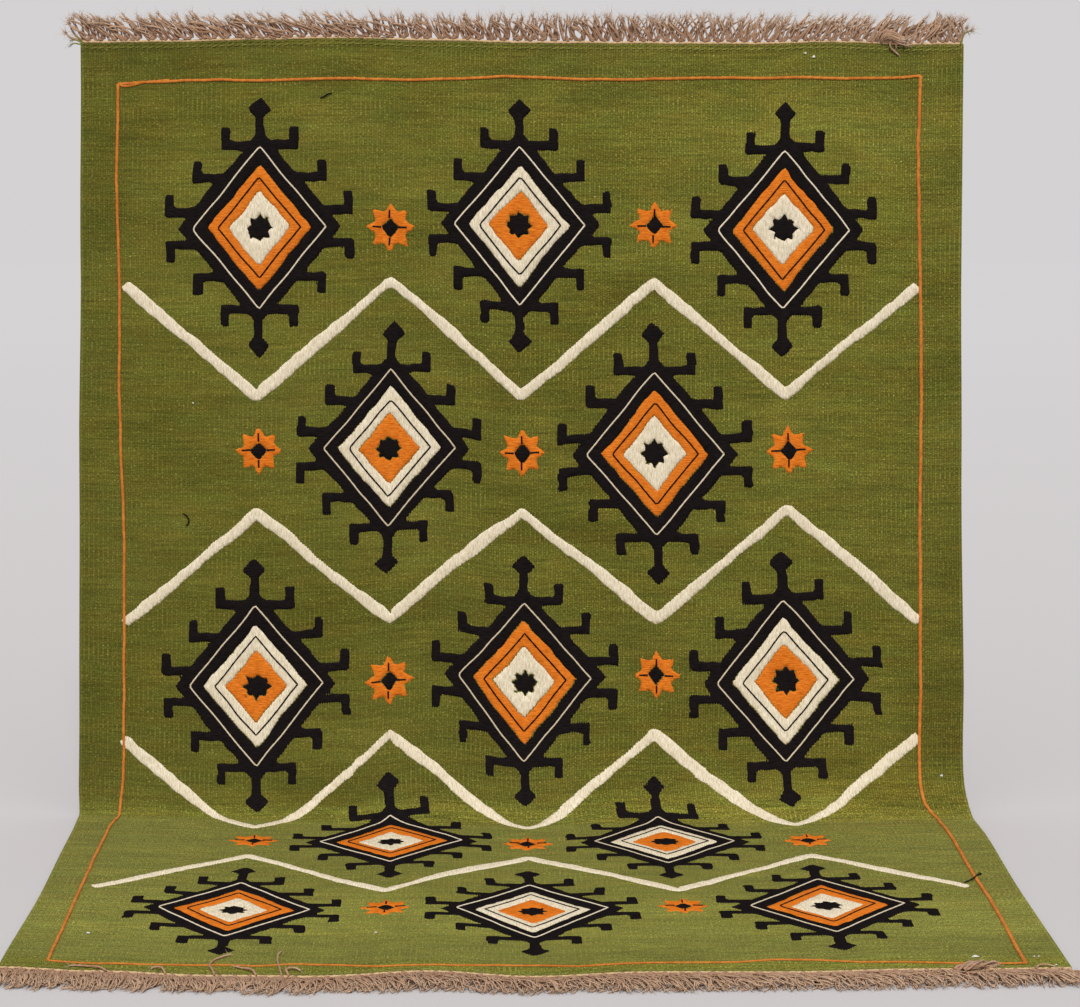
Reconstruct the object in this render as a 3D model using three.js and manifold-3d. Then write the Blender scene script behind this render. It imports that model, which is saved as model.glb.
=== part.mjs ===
// A flat-woven kilim, held by its top edge so that it hangs nearly plumb, sweeps forward near
// the floor, and lies flat on it. A fringe of warp ends stands over the top edge, and another
// lies on the floor past the front edge.
// Millimetres. +X runs across the width, -Y towards the room, +Z up, with the floor at Z = 0.

import * as THREE from "three";
import { mergeVertices } from "three/addons/utils/BufferGeometryUtils.js";
import Module from "manifold-3d";

const wasm = await Module();
wasm.setup();

// Driving dimensions of the cloth

const CLOTH_WIDTH = 1400;
const CLOTH_LENGTH = 2000;
const CLOTH_THICKNESS = 3;
const TOP_EDGE_HEIGHT = 1204;

// Driving dimensions of the drape: the hanging cloth is a catenary, and a crease at its foot
// tightens the bend along the left side

const SAG_RADIUS = 48;
const CREASE_LENGTH = 25;
const ARC_STEP = 2;

// Driving dimensions of the fringes

const CORD_HEIGHT = 4;
const CORD_DEPTH = 4;
const CORD_GAP = 0.3;
const ROOT_REACH = 2.3;
const STRAND_PAIRS = 70;
const STRAND_WIDTH = 3;
const STRAND_TIP_SHARE = 0.6;
const STRAND_STEPS = 3;
const ROOT_SPREAD = 2.4;
const TIP_SPREAD = 4.6;
const LENGTH_VARIATION = 0.07;
const TOP_STRAND_HEIGHT = 41;
const FLOOR_STRAND_LENGTH = 66;
const TOP_STRAND_NOD = 5;
const FLOOR_DRIFT = { wide: 5, waves: 3, own: 2 };
const SCATTER = { index: 12.9898, salt: 78.233, scale: 43758.5453 };

// Colours of the yarns, and how matt they are

const GREEN_WOOL = 0x6d6b28;
const WARP_YARN = 0xa48a72;
const WOOL_ROUGHNESS = 0.95;

// Rows of the drape across the width: place from -1 at the left edge to 1 at the right edge,
// bend added to the sag radius, sharpness of the crease, rise of the top edge, and length that
// the front edge reaches past the nominal one

const DRAPE_ROWS = [
  { place: -1.0, softer: 0, crease: 2.0, topRise: -1, reach: 1 },
  { place: -0.82, softer: 1, crease: 1.4, topRise: 0, reach: 12 },
  { place: -0.6, softer: 3, crease: 0.7, topRise: 4, reach: 24 },
  { place: -0.4, softer: 6, crease: 0.2, topRise: 6, reach: 19 },
  { place: -0.2, softer: 8, crease: 0, topRise: 2, reach: -10 },
  { place: 0.0, softer: 9, crease: 0, topRise: -1, reach: 12 },
  { place: 0.2, softer: 9, crease: 0, topRise: -2, reach: -5 },
  { place: 0.5, softer: 8, crease: 0, topRise: -3, reach: 0 },
  { place: 0.7, softer: 4, crease: 0, topRise: 0, reach: 2 },
  { place: 0.88, softer: 1, crease: 0, topRise: -4, reach: 5 },
  { place: 1.0, softer: 0, crease: 0, topRise: -3, reach: 6 },
];

// Rows of the width down the length: distance from the top edge, and how far the left and the
// right edge stand out past half the nominal width

const WIDTH_ROWS = [
  { down: 0, leftOut: -12, rightOut: -8 },
  { down: 330, leftOut: -6, rightOut: -7 },
  { down: 660, leftOut: 1, rightOut: -3 },
  { down: 1000, leftOut: 4, rightOut: 1 },
  { down: 1160, leftOut: 4, rightOut: -4 },
  { down: 1240, leftOut: 0, rightOut: 2 },
  { down: 1330, leftOut: -2, rightOut: 5 },
  { down: 1660, leftOut: -4, rightOut: 0 },
  { down: 2000, leftOut: 2, rightOut: 1 },
];

// Rows of the top fringe across the width: how far the strands' tips lie to the right of their
// roots

const LEAN_ROWS = [
  { place: -1.0, lean: -13 },
  { place: -0.9, lean: -30 },
  { place: -0.4, lean: -30 },
  { place: -0.2, lean: -10 },
  { place: 0.3, lean: -3 },
  { place: 0.45, lean: 10 },
  { place: 0.6, lean: 28 },
  { place: 0.93, lean: 30 },
  { place: 1.0, lean: 12 },
];

// Rows of the mesh down the length: where each stretch ends, and the steps in it

const MESH_STRETCHES = [
  { end: 1000, steps: 9 },
  { end: 1160, steps: 4 },
  { end: 1270, steps: 11 },
  { end: 1330, steps: 3 },
  { end: 2000, steps: 9 },
];
const MESH_COLUMNS = 28;
const NORMAL_STEP = 0.002;

// Directions

const X_AXIS = new THREE.Vector3(1, 0, 0);
const FRONT = new THREE.Vector3(0, -1, 0);
const UP = new THREE.Vector3(0, 0, 1);

// Low waves: a swell on the floor past the bend, highest towards the left, and soft upright
// waves in the hanging part

const SWELL_HEIGHT = 4;
const SWELL_DOWN = 1480;
const SWELL_LENGTH = 100;
const SWELL_PLACE = -0.45;
const SWELL_WIDTH = 0.5;
const HANG_WAVE_DEPTH = 2.5;
const HANG_WAVES = 1.6;

// Smoothed value between the rows of a table

function smoothRow(rows, key, at, name) {
  const last = rows.length - 1;
  if (at <= rows[0][key]) return rows[0][name];
  if (at >= rows[last][key]) return rows[last][name];
  const next = rows.findIndex((row) => row[key] > at);
  const share = (at - rows[next - 1][key]) / (rows[next][key] - rows[next - 1][key]);
  return THREE.MathUtils.lerp(rows[next - 1][name], rows[next][name], share * share * (3 - 2 * share));
}

// Side profile of the hanging cloth at one place across the width, followed upwards from the
// line where the cloth leaves the floor

function hangingProfile(place) {
  const radius = SAG_RADIUS + smoothRow(DRAPE_ROWS, "place", place, "softer");
  const crease = smoothRow(DRAPE_ROWS, "place", place, "crease");
  const height = TOP_EDGE_HEIGHT + smoothRow(DRAPE_ROWS, "place", place, "topRise");
  const lean = (arc) => Math.atan(arc / radius + crease * (1 - Math.exp(-arc / CREASE_LENGTH)));
  const back = [0];
  const up = [0];
  while (up[up.length - 1] < height) {
    const middle = lean((up.length - 0.5) * ARC_STEP);
    back.push(back[back.length - 1] + ARC_STEP * Math.cos(middle));
    up.push(up[up.length - 1] + ARC_STEP * Math.sin(middle));
  }
  const last = up.length - 1;
  const overshoot = (up[last] - height) / (up[last] - up[last - 1]);
  const arc = (last - overshoot) * ARC_STEP;
  const depth = THREE.MathUtils.lerp(back[last], back[last - 1], overshoot);
  return { back, up, arc, depth };
}

const profiles = new Map();

function profileAt(place) {
  const key = place.toFixed(4);
  if (!profiles.has(key)) profiles.set(key, hangingProfile(place));
  return profiles.get(key);
}

function bump(value, centre, width) {
  return Math.exp(-(((value - centre) / width) ** 2));
}

// Middle of the cloth's thickness at a place across the width and a share of the way from the
// top edge to the front edge

function clothPoint(place, share) {
  const profile = profileAt(place);
  const length = CLOTH_LENGTH + smoothRow(DRAPE_ROWS, "place", place, "reach");
  const down = share * length;
  const leftHalf = CLOTH_WIDTH / 2 + smoothRow(WIDTH_ROWS, "down", down, "leftOut");
  const rightHalf = CLOTH_WIDTH / 2 + smoothRow(WIDTH_ROWS, "down", down, "rightOut");
  const x = (rightHalf - leftHalf) / 2 + (place * (rightHalf + leftHalf)) / 2;
  const arc = profile.arc - down;
  const floor = CLOTH_THICKNESS / 2;
  if (arc <= 0) {
    const across = bump(place, SWELL_PLACE, SWELL_WIDTH);
    const swell = SWELL_HEIGHT * across * bump(down, SWELL_DOWN, SWELL_LENGTH);
    return new THREE.Vector3(x, arc - profile.depth, floor + swell);
  }
  const whole = Math.min(Math.floor(arc / ARC_STEP), profile.up.length - 2);
  const rest = arc / ARC_STEP - whole;
  const back = THREE.MathUtils.lerp(profile.back[whole], profile.back[whole + 1], rest);
  const up = THREE.MathUtils.lerp(profile.up[whole], profile.up[whole + 1], rest);
  const loose = Math.sin((Math.PI * up) / TOP_EDGE_HEIGHT);
  const wave = HANG_WAVE_DEPTH * loose * Math.sin(Math.PI * HANG_WAVES * (place + share));
  return new THREE.Vector3(x, back - profile.depth + wave, floor + up);
}

function clothNormal(place, share) {
  const step = NORMAL_STEP;
  const left = clothPoint(Math.max(place - step, -1), share);
  const right = clothPoint(Math.min(place + step, 1), share);
  const above = clothPoint(place, Math.max(share - step, 0));
  const below = clothPoint(place, Math.min(share + step, 1));
  return below.sub(above).cross(right.sub(left)).normalize();
}

// Closed sheet: a front and a back grid of points, joined by a rim

function sheetGeometry(places, shares, frontPoint, backPoint) {
  const columns = places.length;
  const rows = shares.length;
  const vertices = [];
  for (const pointAt of [frontPoint, backPoint]) {
    for (const share of shares) {
      for (const place of places) {
        const point = pointAt(place, share);
        vertices.push(point.x, point.y, point.z);
      }
    }
  }
  const index = (row, column, side) => side * rows * columns + row * columns + column;
  const faces = [];
  const quad = (a, b, c, d) => faces.push(a, b, c, a, c, d);
  for (let row = 0; row < rows - 1; row += 1) {
    for (let column = 0; column < columns - 1; column += 1) {
      const corners = [[row, column], [row + 1, column], [row + 1, column + 1], [row, column + 1]];
      const [a, b, c, d] = corners.map(([r, k]) => index(r, k, 0));
      const [e, f, g, h] = corners.map(([r, k]) => index(r, k, 1));
      quad(a, b, c, d);
      quad(h, g, f, e);
    }
  }
  const rim = (from, to) => quad(index(...from, 0), index(...from, 1), index(...to, 1), index(...to, 0));
  for (let row = 0; row < rows - 1; row += 1) {
    rim([row, 0], [row + 1, 0]);
    rim([row + 1, columns - 1], [row, columns - 1]);
  }
  for (let column = 0; column < columns - 1; column += 1) {
    rim([rows - 1, column], [rows - 1, column + 1]);
    rim([0, column + 1], [0, column]);
  }
  const geometry = new THREE.BufferGeometry();
  geometry.setAttribute("position", new THREE.Float32BufferAttribute(vertices, 3));
  geometry.setIndex(faces);
  return geometry;
}

function evenPlaces(count) {
  return Array.from({ length: count + 1 }, (_, i) => (2 * i) / count - 1);
}

function meshShares() {
  const downs = [0];
  for (const stretch of MESH_STRETCHES) {
    const start = downs[downs.length - 1];
    for (let i = 1; i <= stretch.steps; i += 1) {
      downs.push(start + ((stretch.end - start) * i) / stretch.steps);
    }
  }
  return downs.map((down) => down / CLOTH_LENGTH);
}

function clothGeometry() {
  const face = (offset) => (place, share) =>
    clothPoint(place, share).addScaledVector(clothNormal(place, share), offset);
  const half = CLOTH_THICKNESS / 2;
  return sheetGeometry(evenPlaces(MESH_COLUMNS), meshShares(), face(half), face(-half));
}

// End cord: a narrow strip a hair away from the cloth's edge, which the fringe grows from

function cordGeometry(edge, outward, up) {
  const outwardRowsFaceUp = outward.clone().cross(X_AXIS).dot(up) > 0;
  const reaches = outwardRowsFaceUp ? [0, 1] : [1, 0];
  const corner = (deep) => (place, reach) => edge(place)
    .addScaledVector(outward, CORD_GAP + reach * CORD_HEIGHT)
    .addScaledVector(up, deep * CORD_DEPTH);
  return sheetGeometry(evenPlaces(MESH_COLUMNS), reaches, corner(1), corner(0));
}

// Three-sided strand along a route, thinner at its tip, with its flat side away from up

function strandGeometry(route, outward, up) {
  const across = up.clone().cross(outward);
  const vertices = [];
  const faces = [];
  route.forEach((point, i) => {
    const size = STRAND_WIDTH * THREE.MathUtils.lerp(1, STRAND_TIP_SHARE, i / (route.length - 1));
    const left = point.clone().addScaledVector(across, -size / 2);
    const right = point.clone().addScaledVector(across, size / 2);
    const top = point.clone().addScaledVector(up, size * Math.cos(Math.PI / 6));
    for (const corner of [left, right, top]) vertices.push(corner.x, corner.y, corner.z);
  });
  for (let i = 0; i < route.length - 1; i += 1) {
    for (let k = 0; k < 3; k += 1) {
      const a = 3 * i + k;
      const b = 3 * i + ((k + 1) % 3);
      faces.push(a, b, b + 3, a, b + 3, a + 3);
    }
  }
  const end = 3 * (route.length - 1);
  faces.push(2, 1, 0, end, end + 1, end + 2);
  const geometry = new THREE.BufferGeometry();
  geometry.setAttribute("position", new THREE.Float32BufferAttribute(vertices, 3));
  geometry.setIndex(faces);
  return geometry;
}

// Irregular numbers from -1 to 1, evenly spread and the same on each run

function uneven(index, salt) {
  const wave = Math.sin(index * SCATTER.index + salt * SCATTER.salt) * SCATTER.scale;
  return 2 * (wave - Math.floor(wave)) - 1;
}

// Point of the cloth's edge at a place, on the straight run between two columns of its mesh

function edgePoint(place, share) {
  const column = Math.min(Math.floor(((place + 1) / 2) * MESH_COLUMNS), MESH_COLUMNS - 1);
  const left = (2 * column) / MESH_COLUMNS - 1;
  const right = (2 * (column + 1)) / MESH_COLUMNS - 1;
  return clothPoint(left, share).lerp(clothPoint(right, share), (place - left) / (right - left));
}

// Strands in pairs along an edge, the two of a pair spread like a fan from one knot

function strandRoutes(routeAt) {
  const routes = [];
  for (let pair = 0; pair < STRAND_PAIRS; pair += 1) {
    const place = -1 + (2 * (pair + 0.5)) / STRAND_PAIRS;
    for (const side of [-1, 1]) {
      const route = [];
      for (let i = 0; i <= STRAND_STEPS; i += 1) {
        const along = i / STRAND_STEPS;
        const point = routeAt(place, pair, side, along);
        point.x += side * THREE.MathUtils.lerp(ROOT_SPREAD, TIP_SPREAD, along);
        route.push(point);
      }
      routes.push(route);
    }
  }
  return routes;
}

// The top strands lean outwards on both sides, stand upright in the middle, and nod forward

function topStrandPoint(place, pair, side, along) {
  const point = edgePoint(place, 0);
  const height = TOP_STRAND_HEIGHT * (1 + LENGTH_VARIATION * uneven(3 * pair + side, 1));
  point.x += smoothRow(LEAN_ROWS, "place", place, "lean") * along;
  point.y -= CORD_DEPTH / 4 + TOP_STRAND_NOD * along ** 2;
  point.z += ROOT_REACH + height * along;
  return point;
}

// The front strands lie level on the floor and drift a little to either side

function floorStrandPoint(place, pair, side, along) {
  const point = edgePoint(place, 1);
  const drift = FLOOR_DRIFT.wide * Math.sin(FLOOR_DRIFT.waves * Math.PI * place);
  const length = FLOOR_STRAND_LENGTH * (1 + LENGTH_VARIATION * uneven(3 * pair + side, 2));
  point.x += (drift + FLOOR_DRIFT.own * uneven(pair, 3)) * along;
  point.y -= ROOT_REACH + length * along;
  point.z = 0;
  return point;
}

// Joining with booleans

function toManifold(geometry) {
  const bare = geometry.clone();
  bare.deleteAttribute("normal");
  bare.deleteAttribute("uv");
  const merged = mergeVertices(bare, 1e-4);
  return new wasm.Manifold(new wasm.Mesh({
    numProp: 3,
    vertProperties: new Float32Array(merged.attributes.position.array),
    triVerts: new Uint32Array(merged.index.array),
  }));
}

function toGeometry(solid) {
  const mesh = solid.getMesh();
  const geometry = new THREE.BufferGeometry();
  geometry.setAttribute("position", new THREE.BufferAttribute(new Float32Array(mesh.vertProperties), 3));
  geometry.setIndex(new THREE.BufferAttribute(new Uint32Array(mesh.triVerts), 1));
  return geometry;
}

function fringeGeometry(cord, strands) {
  let solid = toManifold(cord);
  for (const strand of strands) solid = solid.add(toManifold(strand));
  return toGeometry(solid);
}

function topFringeGeometry() {
  const edge = (place) => clothPoint(place, 0).addScaledVector(FRONT, -CORD_DEPTH / 2);
  const cord = cordGeometry(edge, UP, FRONT);
  const strands = strandRoutes(topStrandPoint).map((route) => strandGeometry(route, UP, FRONT));
  return fringeGeometry(cord, strands);
}

function floorFringeGeometry() {
  const edge = (place) => clothPoint(place, 1).setZ(0);
  const cord = cordGeometry(edge, FRONT, UP);
  const strands = strandRoutes(floorStrandPoint).map((route) => strandGeometry(route, FRONT, UP));
  return fringeGeometry(cord, strands);
}

// The kilim's pieces, each with its own material

function piece(name, geometry, color) {
  geometry.computeVertexNormals();
  const wool = new THREE.MeshStandardMaterial({ color, roughness: WOOL_ROUGHNESS, metalness: 0 });
  const mesh = new THREE.Mesh(geometry, wool);
  mesh.name = name;
  return mesh;
}

const kilim = new THREE.Group();
kilim.add(piece("kilim_cloth", clothGeometry(), GREEN_WOOL));
kilim.add(piece("fringe_top", topFringeGeometry(), WARP_YARN));
kilim.add(piece("fringe_bottom", floorFringeGeometry(), WARP_YARN));

// The origin is at the middle of the kilim's box, on the floor

const box = new THREE.Box3().setFromObject(kilim);
const middle = box.getCenter(new THREE.Vector3());
for (const mesh of kilim.children) mesh.position.set(-middle.x, -middle.y, -box.min.z);

export default kilim;
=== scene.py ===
# Looks of a flat-woven wool kilim. It hangs from its top edge, sweeps forward near the floor
# and lies flat on it. The green ground carries hand-sewn geometric motifs and a border line,
# and each end has a fringe of twisted cords.
# Metres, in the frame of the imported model: +X runs across the width, -Y towards the room and
# +Z up, with the floor at Z = 0. "across" and "down" are places on the cloth, measured from
# its middle line and from its top edge.

import math

import bpy
import numpy as np
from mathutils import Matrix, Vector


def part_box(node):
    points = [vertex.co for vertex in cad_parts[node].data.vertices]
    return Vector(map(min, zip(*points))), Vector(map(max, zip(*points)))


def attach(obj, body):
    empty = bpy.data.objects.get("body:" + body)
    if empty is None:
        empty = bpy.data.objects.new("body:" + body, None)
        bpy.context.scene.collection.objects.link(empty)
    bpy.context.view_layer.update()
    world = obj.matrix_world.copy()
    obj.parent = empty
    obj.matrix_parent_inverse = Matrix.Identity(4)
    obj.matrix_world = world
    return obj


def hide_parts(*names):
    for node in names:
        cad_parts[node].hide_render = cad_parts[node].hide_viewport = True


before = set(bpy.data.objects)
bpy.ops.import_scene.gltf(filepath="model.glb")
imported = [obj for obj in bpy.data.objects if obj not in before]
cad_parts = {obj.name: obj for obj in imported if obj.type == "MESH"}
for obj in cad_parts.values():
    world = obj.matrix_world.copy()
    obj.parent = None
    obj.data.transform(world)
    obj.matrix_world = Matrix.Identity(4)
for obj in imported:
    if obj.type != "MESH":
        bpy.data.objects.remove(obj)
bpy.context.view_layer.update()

MM = 0.001

# Driving sizes of the cloth and of its drape

CLOTH_WIDTH = 1.400
CLOTH_LENGTH = 2.000
HALF_WIDTH = CLOTH_WIDTH / 2
HALF_THICKNESS = 0.0015
TOP_EDGE_HEIGHT = 1.204
SAG_RADIUS = 0.048
CREASE_LENGTH = 0.025
ARC_STEP = 0.002
ARC_STEPS = 800
PROFILES = 241
SWELL = {"height": 0.004, "down": 1.480, "length": 0.100, "place": -0.45, "width": 0.5}
HANG_WAVE_DEPTH = 0.0025
HANG_WAVES = 1.6

# Rows of the drape across the width, in millimetres after the place: softer bend, sharpness
# of the crease, rise of the top edge, and reach of the front edge

SOFTER, CREASE, TOP_RISE, REACH = 1, 2, 3, 4
DRAPE_ROWS = np.array([
    (-1.0, 0, 2.0, -1, 1),
    (-0.82, 1, 1.4, 0, 12),
    (-0.6, 3, 0.7, 4, 24),
    (-0.4, 6, 0.2, 6, 19),
    (-0.2, 8, 0, 2, -10),
    (0.0, 9, 0, -1, 12),
    (0.2, 9, 0, -2, -5),
    (0.5, 8, 0, -3, 0),
    (0.7, 4, 0, 0, 2),
    (0.88, 1, 0, -4, 5),
    (1.0, 0, 0, -3, 6),
])

# Rows of the width down the length, in millimetres: how far the left and the right edge stand
# out past half the nominal width

LEFT_OUT, RIGHT_OUT = 1, 2
WIDTH_ROWS = np.array([
    (0, -12, -8),
    (330, -6, -7),
    (660, 1, -3),
    (1000, 4, 1),
    (1160, 4, -4),
    (1240, 0, 2),
    (1330, -2, 5),
    (1660, -4, 0),
    (2000, 2, 1),
])

# Sizes of the weave, the motifs and the yarns

RIBS = 373
RIB_PITCH = CLOTH_WIDTH / RIBS
RIB_DEPTH = 0.00022
SELVEDGE_WIDTH = 0.0075
FACE_INSET = 0.0001
FLOOR_CLEARANCE = 0.0004
LATTICE = 0.0053
MOTIF_LIFT = 0.0012
MOTIF_EDGE = 0.0032
LINE_PLY = 0.0015
LINE_TWIST = 0.0125
STITCH_PLY = 0.00085
STITCH_TWIST = 0.0065
YARN_LOBE = 0.16
LAID_FLATNESS = 0.62
END_CORD_RADIUS = 0.0021
END_CORD_TWIST = 0.018
END_CORD_RINGS = 560

# Colours of the yarns and of the stage, as they would measure on a chart, 0 to 255

GREEN = (101, 98, 35)
GREEN_DARK = (73, 70, 20)
GREEN_LIGHT = (125, 124, 56)
GREEN_STRAW = (160, 155, 90)
GREEN_SHEEN = (193, 197, 120)
BLACK = (33, 28, 27)
CREAM = (237, 226, 202)
ORANGE = (232, 132, 43)
ORANGE_LINE = (216, 142, 62)
END_CORD = (216, 187, 146)
FRINGE = (192, 159, 131)
FRINGE_DARK = (140, 102, 78)
LINT = (236, 234, 230)
FLOOR = (186, 183, 183)
FLOOR_FAR = (191, 189, 190)
FLOOR_DIM = (176, 174, 173)
SURROUND = (212, 210, 211)

# Spread of the wool's sheen

SHEEN_ROUGHNESS = 0.35

# Stage, light and camera: sizes in metres, angles in degrees, and the camera's sensor and lens
# in millimetres

FLOOR_RINGS = (0.5, 1.5, 3.0, 6.0, 10.0, 14.0)
FLOOR_SPOKES = 96
FLOOR_DROP = 0.0004
SOFT_LIGHT_STRENGTH = 2.57
SOFT_LIGHT_SPREAD = 16
SOFT_LIGHT_ELEVATION = 50.5
CAMERA_SIDE = -0.0765
CAMERA_DISTANCE = 4.5855
CAMERA_HEIGHT = 1.1628
CAMERA_TILT = 8.511
CAMERA_TURN = -1.295
SENSOR_WIDTH = 36.0
LENS = 96.6


# Drape of the cloth

def smooth_row(at, rows, column):
    """Smoothed value between the rows of a table."""
    keys, values = rows[:, 0], rows[:, column]
    row = np.clip(np.searchsorted(keys, at, side="right") - 1, 0, len(keys) - 2)
    share = np.clip((at - keys[row]) / (keys[row + 1] - keys[row]), 0, 1)
    share = share * share * (3 - 2 * share)
    return values[row] * (1 - share) + values[row + 1] * share


def bump(value, centre, width):
    return np.exp(-(((value - centre) / width) ** 2))


def hanging_profiles():
    """Side profiles at places across the width, each followed upwards from the lift-off."""
    places = np.linspace(-1, 1, PROFILES)
    radius = SAG_RADIUS + smooth_row(places, DRAPE_ROWS, SOFTER) * MM
    crease = smooth_row(places, DRAPE_ROWS, CREASE)
    height = TOP_EDGE_HEIGHT + smooth_row(places, DRAPE_ROWS, TOP_RISE) * MM
    middle = (np.arange(ARC_STEPS) + 0.5) * ARC_STEP
    tightening = crease[:, None] * (1 - np.exp(-middle / CREASE_LENGTH))
    lean = np.arctan(middle / radius[:, None] + tightening)
    start = np.zeros((PROFILES, 1))
    back = np.hstack([start, np.cumsum(np.cos(lean), 1) * ARC_STEP])
    up = np.hstack([start, np.cumsum(np.sin(lean), 1) * ARC_STEP])
    arcs = np.arange(ARC_STEPS + 1) * ARC_STEP
    top_arc = np.array([np.interp(height[i], up[i], arcs) for i in range(PROFILES)])
    depth = np.array([np.interp(top_arc[i], arcs, back[i]) for i in range(PROFILES)])
    return back, up, top_arc, depth


BACK, UP, TOP_ARC, DEPTH = hanging_profiles()


def between(table, column, share):
    return table[column] * (1 - share) + table[column + 1] * share


def between_steps(table, column, share, step, part):
    low = table[column, step] * (1 - part) + table[column, step + 1] * part
    high = table[column + 1, step] * (1 - part) + table[column + 1, step + 1] * part
    return low * (1 - share) + high * share


def profile_column(place):
    column = (np.clip(place, -1, 1) + 1) / 2 * (PROFILES - 1)
    whole = np.clip(column.astype(int), 0, PROFILES - 2)
    return whole, column - whole


def cloth_length(place):
    return CLOTH_LENGTH + smooth_row(place, DRAPE_ROWS, REACH) * MM


def lift_off(across):
    """How far down the cloth leaves the floor."""
    place = np.asarray(across, float) / HALF_WIDTH
    return between(TOP_ARC, *profile_column(place)) / cloth_length(place) * CLOTH_LENGTH


def bare_point(across, down):
    across, down = np.broadcast_arrays(np.asarray(across, float), np.asarray(down, float))
    place = across / HALF_WIDTH
    run = down / CLOTH_LENGTH * cloth_length(place)
    left = HALF_WIDTH + smooth_row(run / MM, WIDTH_ROWS, LEFT_OUT) * MM
    right = HALF_WIDTH + smooth_row(run / MM, WIDTH_ROWS, RIGHT_OUT) * MM
    x = (right - left) / 2 + place * (right + left) / 2
    column, share = profile_column(place)
    depth = between(DEPTH, column, share)
    arc = between(TOP_ARC, column, share) - run
    steps = np.clip(arc, 0, None) / ARC_STEP
    step = np.clip(steps.astype(int), 0, ARC_STEPS - 1)
    back = between_steps(BACK, column, share, step, steps - step)
    up = between_steps(UP, column, share, step, steps - step)
    loose = np.sin(np.pi * np.clip(up / TOP_EDGE_HEIGHT, 0, 1))
    wave = HANG_WAVE_DEPTH * loose * np.sin(np.pi * HANG_WAVES * (place + down / CLOTH_LENGTH))
    swell = SWELL["height"] * bump(place, SWELL["place"], SWELL["width"])
    swell = swell * bump(run, SWELL["down"], SWELL["length"])
    hangs = arc > 0
    y = np.where(hangs, back - depth + wave, arc - depth)
    z = HALF_THICKNESS + np.where(hangs, up, swell)
    return np.stack([x, y, z], -1)


cloth_low, cloth_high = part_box("kilim_cloth")
edge_downs = np.linspace(0, CLOTH_LENGTH, 401)
widest = bare_point(HALF_WIDTH, edge_downs)[:, 0].max(), bare_point(-HALF_WIDTH, edge_downs)[:, 0].min()
ORIGIN = np.array([
    (cloth_low.x + cloth_high.x - widest[0] - widest[1]) / 2,
    cloth_high.y - HALF_THICKNESS,
    0.0,
])


def cloth_point(across, down):
    """Middle of the cloth's thickness."""
    return bare_point(across, down) + ORIGIN


def unit(vectors):
    return vectors / np.linalg.norm(vectors, axis=-1, keepdims=True)


def cloth_out(across, down):
    """Unit vectors out of the cloth's front face."""
    step = 0.0015
    along = cloth_point(across + step, down) - cloth_point(across - step, down)
    fall = cloth_point(across, down + step) - cloth_point(across, down - step)
    return unit(np.cross(fall, along))


def on_cloth(across, down, lift):
    """Points at a height over the middle of the cloth, negative behind it."""
    across = np.asarray(across, float)
    down = np.asarray(down, float)
    return cloth_point(across, down) + cloth_out(across, down) * np.asarray(lift, float)[..., None]


# Irregularity, the same on each run

class SoftNoise:
    """Smooth noise from -1 to 1 over a plane, with bumps about one pitch across."""

    def __init__(self, seed, pitch):
        self.table = np.random.default_rng(seed).uniform(-1, 1, (64, 64))
        self.pitch = pitch

    def __call__(self, x, y):
        x, y = np.asarray(x) / self.pitch + 1000, np.asarray(y) / self.pitch + 1000
        i, j = np.floor(x).astype(int), np.floor(y).astype(int)
        s, t = x - i, y - j
        s, t = s * s * (3 - 2 * s), t * t * (3 - 2 * t)
        pick = lambda a, b: self.table[(i + a) % 64, (j + b) % 64]
        low = pick(0, 0) * (1 - s) + pick(1, 0) * s
        high = pick(0, 1) * (1 - s) + pick(1, 1) * s
        return low * (1 - t) + high * t


# Meshes

def make_piece(name, points, faces, material, attributes=()):
    """Mesh object from points and faces, with named values at its points."""
    mesh = bpy.data.meshes.new(name)
    points = np.array(points, float)
    points[:, 2] = np.maximum(points[:, 2], 0)
    mesh.from_pydata(points.tolist(), [], faces)
    for key, values in dict(attributes).items():
        vector = np.ndim(values) == 2
        layer = mesh.attributes.new(key, "FLOAT_VECTOR" if vector else "FLOAT", "POINT")
        layer.data.foreach_set("vector" if vector else "value", np.asarray(values, np.float32).ravel())
    mesh.shade_smooth()
    mesh.materials.append(material)
    mesh.update()
    piece = bpy.data.objects.new(name, mesh)
    bpy.context.scene.collection.objects.link(piece)
    return piece


def make_sheet(name, across, down, half, faces, material, clearance=0.0):
    """Closed sheet on the cloth, from the faces of its front. Its back lies as far behind the
    middle of the cloth as its front lies before it, and a rim joins the two."""
    front = on_cloth(across, down, half).reshape(-1, 3)
    back = on_cloth(across, down, -half).reshape(-1, 3)
    back[:, 2] = np.maximum(back[:, 2], clearance)
    shift = len(front)
    edges = np.stack([faces, np.roll(faces, -1, 1)], -1).reshape(-1, 2)
    _, inverse, count = np.unique(np.sort(edges, 1), axis=0, return_inverse=True, return_counts=True)
    a, b = edges[count[inverse.ravel()] == 1].T
    every = faces.tolist() + (np.roll(faces[:, ::-1], 1, 1) + shift).tolist()
    every += np.stack([b, a, a + shift, b + shift], -1).tolist()
    weave = np.stack([across, down, np.zeros_like(across)], -1).reshape(-1, 3)
    points = np.concatenate([front, back])
    return make_piece(name, points, every, material, {"weave": np.tile(weave, (2, 1))})


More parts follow.
